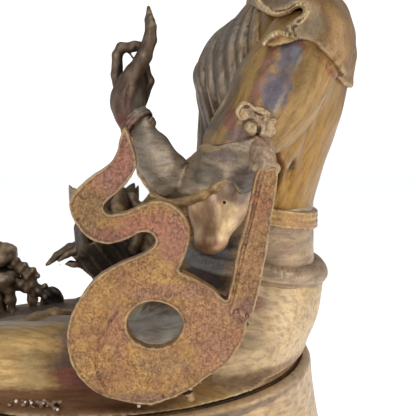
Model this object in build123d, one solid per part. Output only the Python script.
from build123d import *
import math
import os

# Seated goddess, hollow cast in brass as separate pieces and brazed together on a
# round bell-shaped pedestal.  Millimetres.  The origin is the centre of the resting
# face, +Z is up, the figure faces -Y and its left side is +X.

# ---- pedestal ----------------------------------------
seat_height = 170.0
rim_radius = 172.0
lip_round = 7.0
foot_radius = 215.0
foot_ring_height = 16.0
foot_ring_width = 16.0
flare_power = 1.6
pedestal_wall = 5.0
bottom_plate_thickness = 3.0
seat_plate_thickness = 4.0
seat_ledge_width = 20.0
seat_ledge_thickness = 5.0
rivet_radius = 5.0
rivet_head_radius = 9.0
rivet_head_thickness = 3.0
rivet_circle_radius = 34.0
rivet_centre_y = 98.0

# ---- figure: castings and heights above the seat -------------------------------
casting_wall = 4.0
joint_clearance = 0.3
hips_height = 72.0
waistband_height = 79.0
midriff_top = 122.0
belt_height = 117.0
torso_top = 280.0
waist_seat_width = 9.0
neck_top = 306.0
head_centre_height = 352.0
topknot_base = 398.0
topknot_height = 72.0

# ---- rolled bands ----------------------------------------
waistband_width = 15.0
waistband_round = 6.5
waistband_half_x = 66.5
waistband_half_y = 48.8
waistband_tilt = 14.6
belt_seat_x = 59.0
belt_seat_y = 44.5
belt_groove_width = 2.0
belt_thickness = 5.5
belt_band_height = 13.0
belt_tilt = 13.0

# ---- limbs ----------------------------------------
upper_arm_radius = 26.0
elbow_radius = 22.0
wrist_radius = 11.5
sleeve_mouth_radius = 33.0
thigh_root_radius = 36.0
knee_radius = 29.0
hanging_knee_radius = 25.0
ankle_radius = 14.0
pin_radius = 4.0
pin_length = 22.0

# ---- scarf plates ----------------------------------------
scarf_thickness = 11.0
scarf_lean = 2.9
scarf_foot_x = 148.0
disc_half_width = 56.5
disc_half_height = 47.0
disc_centre = (53.5, 52.0)
eye_half_width = 19.3
eye_half_height = 16.2
scroll_rivet_radius = 3.4
scroll_rivet_height = 1.2
right_scarf_shift = 32.0

# ---- head ----------------------------------------
head_half_width = 37.0
head_half_depth = 44.0
head_y = 132.0
neck_radius = 25.0
earring_radius = 9.0
earring_wire = 2.5
earring_x = 39.8
diadem_height = 20.0
diadem_thickness = 3.0

# ---- flowers ----------------------------------------
footstool_radius = 42.0
footstool_height = 28.0
lotus_radius = 30.0
lotus_height = 48.0
petal_count = 8
stem_radius = 4.0

os.makedirs("parts", exist_ok=True)


# ---- helpers ----------------------------------------
def limb(start, start_radius, end, end_radius):
    """Round-ended tapering rod between two points."""
    start_point = Vector(*start)
    axis = Vector(*end) - start_point
    length = axis.length
    slope = (start_radius - end_radius) / length
    level = math.sqrt(1.0 - slope * slope)
    low = Vector(start_radius * level, start_radius * slope)
    high = Vector(end_radius * level, length + end_radius * slope)
    half = math.asin(slope)
    low_mid = (half - math.pi / 2) / 2
    high_mid = (half + math.pi / 2) / 2
    low_arc = ThreePointArc(
        (0, -start_radius),
        (start_radius * math.cos(low_mid), start_radius * math.sin(low_mid)),
        low,
    )
    high_arc = ThreePointArc(
        high,
        (end_radius * math.cos(high_mid), length + end_radius * math.sin(high_mid)),
        (0, length + end_radius),
    )
    outline = [low_arc, Line(low, high), high_arc, Line((0, length + end_radius), (0, -start_radius))]
    profile = Plane.XZ * make_face(outline)
    rod = revolve(profile, Axis.Z, 360)
    return Plane(origin=start_point, z_dir=axis) * rod


def chain(points):
    """Limbs in a row through (x, y, z, radius) points, as one solid."""
    body = None
    for first, second in zip(points, points[1:]):
        piece = limb(first[:3], first[3], second[:3], second[3])
        body = piece if body is None else body + piece
    return body


def ellipsoid(centre, half_x, half_y, half_z):
    return Pos(*centre) * scale(Sphere(1.0), by=(half_x, half_y, half_z))


def stack(sections):
    """Smooth body through level ellipses, each (z, centre_y, half_x, half_y)."""
    faces = []
    for z, centre_y, half_x, half_y in sections:
        faces.append(Plane((0, centre_y, z)) * Ellipse(half_x, half_y))
    return loft(faces)


def shrink(sections, wall, low_gap, high_gap):
    """The inside of a stack, a wall smaller all round and short at both ends."""
    inner = []
    for z, centre_y, half_x, half_y in sections:
        inner.append([z, centre_y, half_x - wall, half_y - wall])
    inner[0][0] += low_gap
    inner[-1][0] -= high_gap
    return inner


def tilted_plane(centre_y, z, tilt):
    return Plane(origin=(0, centre_y, z), x_dir=(1, 0, 0), z_dir=Vector(0, 0, 1).rotate(Axis.X, tilt))


def ring_band(plane, half_x, half_y, thickness, height):
    outer = extrude(plane * Ellipse(half_x + thickness, half_y + thickness), height / 2, both=True)
    inner = extrude(plane * Ellipse(half_x, half_y), height, both=True)
    return outer - inner


def thinned(points, wall):
    """The same chain of points with every radius smaller by the wall."""
    return [(x, y, z, radius - wall) for x, y, z, radius in points]


def hollow_chain(points):
    """A cast limb with an even wall, closed at its ends."""
    return chain(points) - chain(thinned(points, casting_wall))


def mirrored(shape):
    return mirror(shape, about=Plane.YZ)


def cut(shape, *tools):
    for tool in tools:
        shape = shape - tool
    return shape


nodes = {}


def keep(name, shape):
    """Keep the body of a piece, without the crumbs that a cut can leave."""
    nodes[name] = shape.solids().sort_by(SortBy.VOLUME)[-1]


def keep_group(name, pieces):
    nodes[name] = Compound(children=[Part(piece.wrapped) for piece in pieces])


# ---- pedestal ----------------------------------------
def bell_radius(z):
    """Outer radius of the bell wall at a height."""
    drop = (seat_height - z) / seat_height
    return rim_radius + (foot_radius - rim_radius) * drop**flare_power


bell_rise = (seat_height - lip_round - foot_ring_height) / 6
bell_heights = [foot_ring_height + step * bell_rise for step in range(7)]
outer_points = [(bell_radius(z), z) for z in bell_heights]
inner_points = [(r - pedestal_wall, z) for r, z in outer_points]
ledge_top = seat_height - seat_plate_thickness
ledge_bottom = ledge_top - seat_ledge_thickness
seat_radius = rim_radius - lip_round - 2.0
ledge_inner = seat_radius - seat_ledge_width
inner_points[-1] = (outer_points[-1][0] - pedestal_wall, ledge_bottom - 1.0)
lip_out = outer_points[-1]
lip_top = (lip_out[0] - lip_round, seat_height)
lip_mid = (lip_out[0] - lip_round * 0.29, seat_height - lip_round * 0.29)
bell_outline = [
    Line(inner_points[0], outer_points[0]),
    Spline(*outer_points),
    ThreePointArc(lip_out, lip_mid, lip_top),
    Polyline(
        lip_top,
        (seat_radius, seat_height),
        (seat_radius, ledge_top),
        (ledge_inner, ledge_top),
        (ledge_inner, ledge_bottom),
        (inner_points[-1][0], ledge_bottom),
        inner_points[-1],
    ),
    Spline(*reversed(inner_points)),
]
pedestal_shell = revolve(Plane.XZ * make_face(bell_outline), Axis.Z, 360)

ring_inner = foot_radius - foot_ring_width + 4.0
ring_profile = Plane.XZ * Pos(ring_inner + foot_ring_width / 2, foot_ring_height / 2) * RectangleRounded(
    foot_ring_width, foot_ring_height, 5.0
)
foot_ring = revolve(ring_profile, Axis.Z, 360)
bottom_plate = Pos(0, 0, bottom_plate_thickness / 2) * Cylinder(
    ring_inner + 5.0, bottom_plate_thickness
)
foot_ring = foot_ring - bottom_plate
seat_plate = Pos(0, 0, (ledge_top + seat_height) / 2) * Cylinder(
    seat_radius - joint_clearance, seat_plate_thickness
)

# ---- hips and waist ----------------------------------------
hips_sections = [
    (seat_height, 84.0, 112.0, 72.0),
    (seat_height + 22, 92.0, 116.0, 80.0),
    (seat_height + 42, 101.0, 107.0, 80.0),
    (seat_height + hips_height, 121.0, 74.0, 56.0),
]
hips_outer = stack(hips_sections)
hips_cavity = shrink(hips_sections, casting_wall + 2.0, casting_wall, -1.0)
hips_cavity[-1][2] -= waist_seat_width
hips_cavity[-1][3] -= waist_seat_width
hips = hips_outer - stack(hips_cavity)

midriff_sections = [
    (seat_height + hips_height, 124.0, 69.0, 50.0),
    (seat_height + 92, 125.0, 65.0, 48.0),
    (seat_height + midriff_top, 126.0, 61.0, 46.0),
]
midriff_outer = stack(midriff_sections)
midriff = midriff_outer - stack(shrink(midriff_sections, casting_wall, -1.0, -1.0))

torso_sections = [
    (seat_height + midriff_top, 126.0, 61.0, 46.0),
    (seat_height + 150, 129.0, 66.0, 50.0),
    (seat_height + 180, 134.0, 74.0, 54.0),
    (seat_height + 215, 139.0, 82.0, 57.0),
    (seat_height + 245, 146.0, 87.0, 54.0),
    (seat_height + 268, 153.0, 84.0, 42.0),
    (seat_height + torso_top, 156.0, 48.0, 26.0),
]
torso_body = stack(torso_sections)
bust_x, bust_y, bust_z = 37.0, 113.0, seat_height + 222.0
bust = ellipsoid((bust_x, bust_y, bust_z), 35.0, 35.0, 40.0)
torso_outer = torso_body + bust + mirrored(bust)
torso = torso_outer - stack(shrink(torso_sections, casting_wall + 2.0, -1.0, casting_wall + 4.0))

waistband_plane = tilted_plane(125.2, seat_height + waistband_height, -waistband_tilt)
waistband_roll = ring_band(
    waistband_plane, waistband_half_x, waistband_half_y, waistband_width, waistband_width
)
waistband_roll = fillet(waistband_roll.edges(), waistband_round)

belt_plane = tilted_plane(126.0, seat_height + belt_height + 2.0, -belt_tilt)
belt = ring_band(belt_plane, belt_seat_x, belt_seat_y, belt_thickness, belt_band_height)
groove_seat = belt_thickness - belt_groove_width / 2
belt_groove = ring_band(
    belt_plane, belt_seat_x + groove_seat, belt_seat_y + groove_seat, belt_groove_width, belt_groove_width
)
belt = cut(belt, belt_groove, midriff_outer, torso_outer)

hips = cut(hips, waistband_roll)
midriff = cut(midriff, waistband_roll, hips_outer)

# ---- shoulder shawl: an outer sheet over the back and the shoulders ---------------------------------
shawl_thickness = 3.0
shawl_sections = [(z, y, a + shawl_thickness, b + shawl_thickness) for z, y, a, b in torso_sections[3:6]]
shawl_region = Pos(0, 150 + 100, seat_height + 238) * Box(240, 200, 46)
shawl = (stack(shawl_sections) & shawl_region) - torso_outer

# ---- head ----------------------------------------
neck_bottom = seat_height + torso_top - 14
head_z = seat_height + head_centre_height
neck = chain(
    [
        (0, 152, neck_bottom, neck_radius + 3),
        (0, 142, seat_height + neck_top + 8, neck_radius),
    ]
)
head = chain(
    [
        (0, head_y + 6, head_z + 8, head_half_width + 3),
        (0, head_y - 12, head_z - 20, head_half_width - 9),
    ]
)
nose = limb((0, head_y - 34, head_z + 2), 3.5, (0, head_y - 38.5, head_z - 14), 5.0)
head = head + nose
hair = chain(
    [
        (0, head_y + 9, head_z + 10, head_half_width + 7),
        (0, head_y + 12, head_z - 16, head_half_width - 4),
    ]
)
hair_front = Pos(0, head_y - 60, head_z - 28) * Box(200, 90, 100)
hair = cut(hair, head, hair_front)
neck = cut(neck, torso_outer, head, hair)
topknot_z = seat_height + topknot_base
topknot = chain(
    [
        (0, head_y + 8, topknot_z, 24.0),
        (0, head_y + 8, topknot_z + 24, 20.0),
    ]
)
topknot = topknot + limb(
    (0, head_y + 8, topknot_z + 42), 9.0, (0, head_y + 8, topknot_z + topknot_height - 5), 5.0
)
topknot = cut(topknot, hair, head)
diadem_plane = tilted_plane(head_y + 2, head_z + 26, 8.0)
diadem = ring_band(
    diadem_plane, head_half_width + 5, head_half_depth + 3, diadem_thickness, diadem_height
)
diadem = cut(diadem, head, hair)
hair = cut(hair, diadem)
earring_centre = (earring_x, head_y + 4, head_z - 24)
left_earring = Plane(origin=earring_centre, z_dir=(1, 0, 0)) * Torus(earring_radius, earring_wire)
left_earring = cut(left_earring, head, hair, neck)

# ---- left arm, raised with thumb and first finger closed in a ring ----------------------------------------
shoulder_left = (97.0, 148.0, seat_height + 252)
cuff_left = (104.0, 108.0, seat_height + 174)
elbow_left = (101.0, 95.0, seat_height + 121)
wrist_left = (74.0, 36.0, seat_height + 186)
sleeve_mouth_left = (96.0, 78.0, seat_height + 145)
left_arm_points = [shoulder_left + (upper_arm_radius + 2,), cuff_left + (upper_arm_radius,)]
left_arm_outer = chain(left_arm_points)
left_elbow_outer = limb(
    (102.0, 101.0, seat_height + 150), elbow_radius + 2, elbow_left, elbow_radius - 3
)
left_forearm = limb(wrist_left, wrist_radius, sleeve_mouth_left, sleeve_mouth_radius)
sleeve_axis = Vector(*sleeve_mouth_left) - Vector(*wrist_left)
sleeve_cutter = Plane(origin=sleeve_mouth_left, z_dir=sleeve_axis) * Pos(0, 0, 40) * Box(160, 160, 80)
left_forearm = cut(left_forearm, sleeve_cutter)
left_upper_arm = cut(hollow_chain(left_arm_points), torso_outer, shawl)
left_elbow = cut(left_elbow_outer, left_arm_outer, torso_outer)
left_forearm = cut(left_forearm, left_elbow_outer, left_arm_outer, torso_outer)

hand_z = seat_height + 196
left_palm = chain(
    [
        (71.0, 32.0, hand_z, 11.0),
        (66.0, 33.0, hand_z + 20, 13.0),
    ]
)
middle_fingers = [
    [(66, 40, hand_z + 24, 8.0), (62, 46, hand_z + 48, 6.5), (60, 45, hand_z + 74, 3.0)],
    [(70, 42, hand_z + 22, 7.5), (69, 49, hand_z + 44, 6.0), (66, 48, hand_z + 62, 3.0)],
    [(74, 42, hand_z + 18, 7.0), (75, 49, hand_z + 36, 5.5), (72, 49, hand_z + 50, 3.0)],
]
first_finger = [
    (60, 38, hand_z + 26, 7.0),
    (57, 36, hand_z + 42, 5.0),
    (57, 21, hand_z + 46, 4.0),
    (58, 19, hand_z + 34, 3.2),
]
thumb = [(64, 24, hand_z + 10, 7.5), (61, 19, hand_z + 20, 5.5), (58, 18, hand_z + 31, 3.6)]
left_hand = left_palm
for finger in middle_fingers + [first_finger, thumb]:
    left_hand = left_hand + chain(finger)
left_hand = cut(left_hand, left_forearm)


def bracelet(wrist, towards, radius):
    axis = Vector(*towards) - Vector(*wrist)
    return Plane(origin=wrist, z_dir=axis) * Torus(radius, 3.2)


left_bracelet = bracelet((73.4, 34.5, seat_height + 189), sleeve_mouth_left, wrist_radius + 1.0)
left_forearm = cut(left_forearm, left_bracelet)
left_hand = cut(left_hand, left_bracelet)

# ---- right arm, lowered and reaching forward with the palm up ----------------------------------------
shoulder_right = (-97.0, 148.0, seat_height + 252)
elbow_right = (-108.0, 104.0, seat_height + 146)
wrist_right = (-84.0, 14.0, seat_height + 78)
right_arm_points = [shoulder_right + (upper_arm_radius + 2,), elbow_right + (elbow_radius,)]
right_arm_outer = chain(right_arm_points)
right_forearm = limb(elbow_right, elbow_radius - 1, wrist_right, wrist_radius)
right_upper_arm = cut(hollow_chain(right_arm_points), torso_outer, shawl)
right_forearm = cut(right_forearm, right_arm_outer, torso_outer, hips_outer)
right_hand = chain([(-82, 8, seat_height + 75, 10.5), (-77, -12, seat_height + 70, 12.0)])
right_fingers = [
    [(-86, -18, seat_height + 70, 5.5), (-88, -38, seat_height + 66, 4.5), (-87, -52, seat_height + 60, 2.5)],
    [(-79, -20, seat_height + 70, 5.5), (-79, -42, seat_height + 64, 4.5), (-77, -58, seat_height + 56, 2.5)],
    [(-72, -19, seat_height + 70, 5.5), (-70, -38, seat_height + 66, 4.5), (-69, -53, seat_height + 59, 2.5)],
    [(-67, -14, seat_height + 70, 5.0), (-62, -30, seat_height + 67, 4.0), (-60, -42, seat_height + 63, 2.5)],
    [(-88, -4, seat_height + 74, 6.0), (-98, -18, seat_height + 76, 4.5), (-100, -30, seat_height + 78, 2.8)],
]
for finger in right_fingers:
    right_hand = right_hand + chain(finger)
right_hand = cut(right_hand, right_forearm)
right_bracelet = bracelet((-83.5, 12.0, seat_height + 76.5), elbow_right, wrist_radius + 1.0)
right_forearm = cut(right_forearm, right_bracelet)
right_hand = cut(right_hand, right_bracelet)

# ---- legs: the left folded on the seat, the right hanging over the front ---------------------------------
left_hip = (62.0, 108.0, seat_height + thigh_root_radius)
left_knee = (118.0, -88.0, seat_height + 31)
left_thigh_points = [left_hip + (thigh_root_radius,), left_knee + (knee_radius,)]
left_shin_points = [
    (104.0, -98.0, seat_height + 23, 22.0),
    (2.0, -66.0, seat_height + 16, ankle_radius),
]
left_thigh_outer = chain(left_thigh_points)
left_shin_outer = chain(left_shin_points)
left_foot = chain(
    [
        (4.0, -62.0, seat_height + 14.5, 13.0),
        (-36.0, -44.0, seat_height + 12.0, 11.0),
        (-58.0, -36.0, seat_height + 8.0, 7.0),
    ]
)
right_thigh_points = [
    (-62.0, 104.0, seat_height + 28, thigh_root_radius - 4),
    (-80.0, -20.0, seat_height - 12, 27.0),
    (-92.0, -152.0, seat_height - 20, hanging_knee_radius),
]
right_ankle = (-94.0, -214.0, 60.0)
right_shin_points = [
    (-92.5, -162.0, seat_height - 24, hanging_knee_radius - 2),
    right_ankle + (ankle_radius,),
]
right_thigh_outer = chain(right_thigh_points)
right_shin_outer = chain(right_shin_points)
footstool_centre = (-98.0, -242.0)
right_foot = chain(
    [
        (-94.0, -218.0, footstool_height + 15, 14.0),
        (-98.0, -246.0, footstool_height + 11, 10.5),
        (-101.0, -272.0, footstool_height + 7.5, 7.0),
    ]
)
floor_slab = Pos(0, 0, seat_height - 100) * Box(500, 500, 200)
left_thigh = cut(hollow_chain(left_thigh_points), floor_slab, hips_outer, waistband_roll, midriff_outer)
left_shin = cut(hollow_chain(left_shin_points), floor_slab, left_thigh_outer)
left_foot = cut(left_foot, floor_slab, left_shin_outer, right_thigh_outer)
right_thigh = cut(hollow_chain(right_thigh_points), hips_outer, waistband_roll, midriff_outer)
right_shin = cut(hollow_chain(right_shin_points), right_thigh_outer)
right_foot = cut(right_foot, right_shin_outer)

saddle = chain(thinned(right_thigh_points, -joint_clearance))
shin_saddle = chain(thinned(right_shin_points, -joint_clearance))
seat_plate = cut(seat_plate, saddle)
pedestal_shell = cut(pedestal_shell, saddle, shin_saddle)

# ---- footstool ----------------------------------------
stool_profile = [
    Polyline((0, 0), (footstool_radius - 8, 0)),
    Spline(
        (footstool_radius - 8, 0),
        (footstool_radius, footstool_height * 0.32),
        (footstool_radius - 9, footstool_height * 0.55),
        (footstool_radius - 2, footstool_height * 0.85),
        (footstool_radius - 5, footstool_height),
    ),
    Polyline((footstool_radius - 5, footstool_height), (0, footstool_height), (0, 0)),
]
foot_lotus = Pos(*footstool_centre, 0) * revolve(Plane.XZ * make_face(stool_profile), Axis.Z, 360)
foot_lotus = cut(foot_lotus, foot_ring)
right_foot = cut(right_foot, foot_lotus)
right_shin = cut(right_shin, foot_lotus)

# ---- scarf plates ----------------------------------------
scarf_plane = Plane(
    origin=(scarf_foot_x, 0, seat_height + 5),
    x_dir=(0, 1, 0),
    z_dir=(math.cos(math.radians(scarf_lean)), 0, math.sin(math.radians(scarf_lean))),
)


def ribbon(points):
    """Face of a flat ribbon through (y, z, width) points."""
    left, right = [], []
    for index, (y, z, width) in enumerate(points):
        before = points[max(index - 1, 0)]
        after = points[min(index + 1, len(points) - 1)]
        along = Vector(after[0] - before[0], after[1] - before[1]).normalized()
        side = Vector(-along.Y, along.X) * (width / 2)
        left.append(Vector(y, z) + side)
        right.append(Vector(y, z) - side)
    edge = Spline(*left)
    back_edge = Spline(*reversed(right))
    return make_face([edge, Line(left[-1], right[-1]), back_edge, Line(right[0], left[0])])


scroll_line = [
    (34.5, 181.0, 2.0),
    (36.8, 168.0, 11.5),
    (32.0, 153.0, 17.5),
    (19.0, 143.0, 18.5),
    (11.5, 131.0, 20.5),
    (18.0, 119.0, 20.0),
    (29.0, 117.3, 19.5),
    (40.0, 120.5, 19.5),
    (51.0, 124.0, 20.0),
    (62.0, 119.0, 22.5),
    (64.0, 106.0, 24.0),
    (58.0, 92.0, 36.0),
    (54.0, 78.0, 52.0),
]
strap_line = [
    (126.0, 154.5, 12.7),
    (122.0, 130.5, 16.0),
    (116.0, 102.5, 17.6),
    (110.5, 77.0, 19.0),
    (106.0, 60.0, 21.0),
    (98.0, 42.0, 22.0),
]


def shifted(points, move):
    return [(y + move, z, width) for y, z, width in points]


def scarf(move, strap_points):
    """Scroll, strap and rivets of one scarf end, on the left side."""
    place = Pos(disc_centre[0] + move, disc_centre[1])
    disc = place * Ellipse(disc_half_width, disc_half_height)
    eye = Pos(disc_centre[0] - 0.5 + move, disc_centre[1] + 4.5) * Ellipse(eye_half_width, eye_half_height)
    band = ribbon(shifted(scroll_line, move))
    scroll_face = (disc + band) - eye
    scroll = extrude(scarf_plane * scroll_face, scarf_thickness / 2, both=True)
    strap = extrude(scarf_plane * ribbon(strap_points), scarf_thickness / 2 - 0.5, both=True)
    disc_tool = extrude(scarf_plane * disc, scarf_thickness, both=True)
    strap = strap - disc_tool
    rivets = []
    for y, z in ((60.0, 79.0), (36.0, 74.0), (66.0, 87.0)):
        face = scarf_plane.offset(scarf_thickness / 2) * Pos(y + move, z)
        head = Cylinder(scroll_rivet_radius, scroll_rivet_height)
        rivets.append(face * Pos(0, 0, scroll_rivet_height / 2) * head)
    return scroll, strap, rivets


left_scroll, left_strap, left_rivets = scarf(0.0, strap_line)
right_strap_line = [(126, 154.5, 12.7), (127, 130.5, 16), (129, 102.5, 17.6), (132, 77, 19), (130, 56, 21)]
right_scroll, right_strap, right_rivets = scarf(right_scarf_shift, right_strap_line)
right_scroll = mirrored(right_scroll)
right_strap = mirrored(right_strap)

tab_centre = (132.0, 124.0, seat_height + 166)
tab = Pos(*tab_centre) * Box(18.0, 15.0, 30.0)
tab = fillet(tab.edges(), 4.0)
left_tab = cut(tab, left_arm_outer, left_elbow_outer, left_forearm, left_strap)
right_tab = cut(mirrored(tab), right_arm_outer, right_forearm, right_strap)

rosette_centre = (129.0, 118.0, seat_height + 190)
rosette = Pos(*rosette_centre) * Sphere(10.0)
rosette = rosette + Pos(130, 124, seat_height + 183) * Sphere(9.0)
rosette = rosette + Pos(131, 113, seat_height + 182) * Sphere(7.5)
left_rosette = cut(rosette, left_arm_outer, left_elbow_outer, left_tab, left_strap)
right_rosette = cut(mirrored(rosette), right_arm_outer, right_forearm, right_tab, right_strap)
left_scroll = cut(left_scroll, left_thigh_outer)
right_scroll = cut(right_scroll, right_thigh_outer, seat_plate)

# ---- collar of beads and shoulder ruffles ----------------------------------------
collar_plane = tilted_plane(140.0, seat_height + 264, 24.0)
necklace = collar_plane * Torus(46.0, 4.0)
necklace = cut(necklace, torso_outer, neck)
ruffle = ellipsoid((74.0, 124.0, seat_height + 256), 20.0, 16.0, 10.0)
left_ruffle = cut(ruffle, torso_outer, shawl, left_arm_outer)
right_ruffle = cut(mirrored(ruffle), torso_outer, shawl, right_arm_outer)

# ---- flowers ----------------------------------------
flower_x, flower_y, flower_z = -74.0, -15.0, seat_height + 78
cup_height = lotus_height * 0.45
lotus_cup = Pos(flower_x, flower_y, flower_z + cup_height / 2) * Cone(12.0, lotus_radius * 0.72, cup_height)
lotus_cup = cut(lotus_cup, right_hand, right_bracelet)
lotus_petals = None
for number in range(petal_count):
    turn = 360.0 / petal_count * number
    petal = ellipsoid((0, 0, 0), 4.0, 11.0, lotus_height * 0.42)
    petal = Pos(flower_x, flower_y, flower_z) * Rotation(0, 0, turn) * Pos(
        lotus_radius * 0.66, 0, lotus_height * 0.56
    ) * Rotation(0, 16, 0) * petal
    lotus_petals = petal if lotus_petals is None else lotus_petals + petal
lotus_petals = cut(lotus_petals, lotus_cup, right_hand, right_bracelet)

spray_x, spray_y, spray_z = -92.0, -112.0, seat_height + 44
spray_core = 16.0
spray_bloom = Pos(spray_x, spray_y, spray_z) * Sphere(spray_core)
for number in range(petal_count):
    turn = math.radians(360.0 / petal_count * number)
    out_x, out_y = math.cos(turn), math.sin(turn)
    low = (spray_x + 11 * out_x, spray_y + 11 * out_y, spray_z - 14)
    high = (spray_x + 14 * out_x, spray_y + 14 * out_y, spray_z + 12)
    spray_bloom = spray_bloom + limb(low, 7.0, high, 5.0)
spray_bloom = cut(spray_bloom, right_thigh_outer)
spray_leaf = Plane(origin=(-88.0, -62.0, seat_height + 17), z_dir=(0.8, 0.2, 0.5)) * Cylinder(15.0, 3.0)
spray_leaf = cut(spray_leaf, right_thigh_outer)
spray_bud = limb((-86.0, -80.0, seat_height + 20), 6.5, (-84.0, -74.0, seat_height + 9), 3.5)
spray_bud = cut(spray_bud, right_thigh_outer, spray_bloom, spray_leaf)
spray_stem = chain(
    [
        (-90.0, -100.0, seat_height + 30, stem_radius),
        (-90.0, -80.0, seat_height + 26, stem_radius),
        (-86.0, -62.0, seat_height + 30, stem_radius),
        (-80.0, -44.0, seat_height + 52, stem_radius - 1),
    ]
)
spray_stem = cut(spray_stem, right_thigh_outer, spray_bloom, spray_leaf, spray_bud, right_hand)

# ---- seat rivets and joint pins ----------------------------------------
rivet_length = seat_plate_thickness + casting_wall
seat_rivets = []
for turn in (90.0, 210.0, 330.0):
    x = rivet_circle_radius * math.cos(math.radians(turn)) * 0.8
    y = rivet_centre_y + rivet_circle_radius * math.sin(math.radians(turn))
    shank = Pos(x, y, seat_height) * Cylinder(rivet_radius, rivet_length)
    rivet_head = Cylinder(rivet_head_radius, rivet_head_thickness)
    upper = Pos(x, y, seat_height + casting_wall + rivet_head_thickness / 2) * rivet_head
    lower = Pos(x, y, ledge_top - rivet_head_thickness / 2) * rivet_head
    seat_rivets.append(shank + upper + lower)
    seat_plate = seat_plate - shank
    hips = cut(hips, shank, upper)

neck_pin = Pos(0, 148.0, seat_height + torso_top) * Cylinder(pin_radius, pin_length * 1.6)
torso = cut(torso, neck_pin)
neck = cut(neck, neck_pin)

keep("pedestal_shell", pedestal_shell)
keep("pedestal_foot_ring", foot_ring)
keep("bottom_plate", bottom_plate)
keep("seat_plate", seat_plate)
keep_group("seat_rivets", seat_rivets)
keep("hips", hips)
keep("left_thigh", left_thigh)
keep("left_shin", left_shin)
keep("left_foot", left_foot)
keep("right_thigh", right_thigh)
keep("right_shin", right_shin)
keep("right_foot", right_foot)
keep("foot_lotus", foot_lotus)
keep("waistband_roll", waistband_roll)
keep("midriff", midriff)
keep("belt", belt)
keep("torso", torso)
keep("shawl", shawl)
keep("necklace", necklace)
keep("left_ruffle", left_ruffle)
keep("right_ruffle", right_ruffle)
keep("neck", neck)
keep("neck_pin", neck_pin)
keep("head", head)
keep("hair", hair)
keep("topknot", topknot)
keep("diadem", diadem)
keep("left_earring", left_earring)
keep("right_earring", mirrored(left_earring))
keep("left_upper_arm", left_upper_arm)
keep("left_elbow", left_elbow)
keep("left_forearm", left_forearm)
keep("left_hand", left_hand)
keep("left_bracelet", left_bracelet)
keep("right_upper_arm", right_upper_arm)
keep("right_forearm", right_forearm)
keep("right_hand", right_hand)
keep("right_bracelet", right_bracelet)
keep("left_rosette", left_rosette)
keep("right_rosette", right_rosette)
keep("left_scarf_tab", left_tab)
keep("right_scarf_tab", right_tab)
keep("left_scarf_strap", left_strap)
keep("right_scarf_strap", right_strap)
keep("left_scarf_scroll", left_scroll)
keep("right_scarf_scroll", right_scroll)
keep_group("scroll_rivets", left_rivets)
keep("lotus_cup", lotus_cup)
keep("lotus_petals", lotus_petals)
keep("spray_bloom", spray_bloom)
keep("spray_leaf", spray_leaf)
keep("spray_bud", spray_bud)
keep("spray_stem", spray_stem)

for name, shape in nodes.items():
    export_step(shape, f"parts/{name}.step")
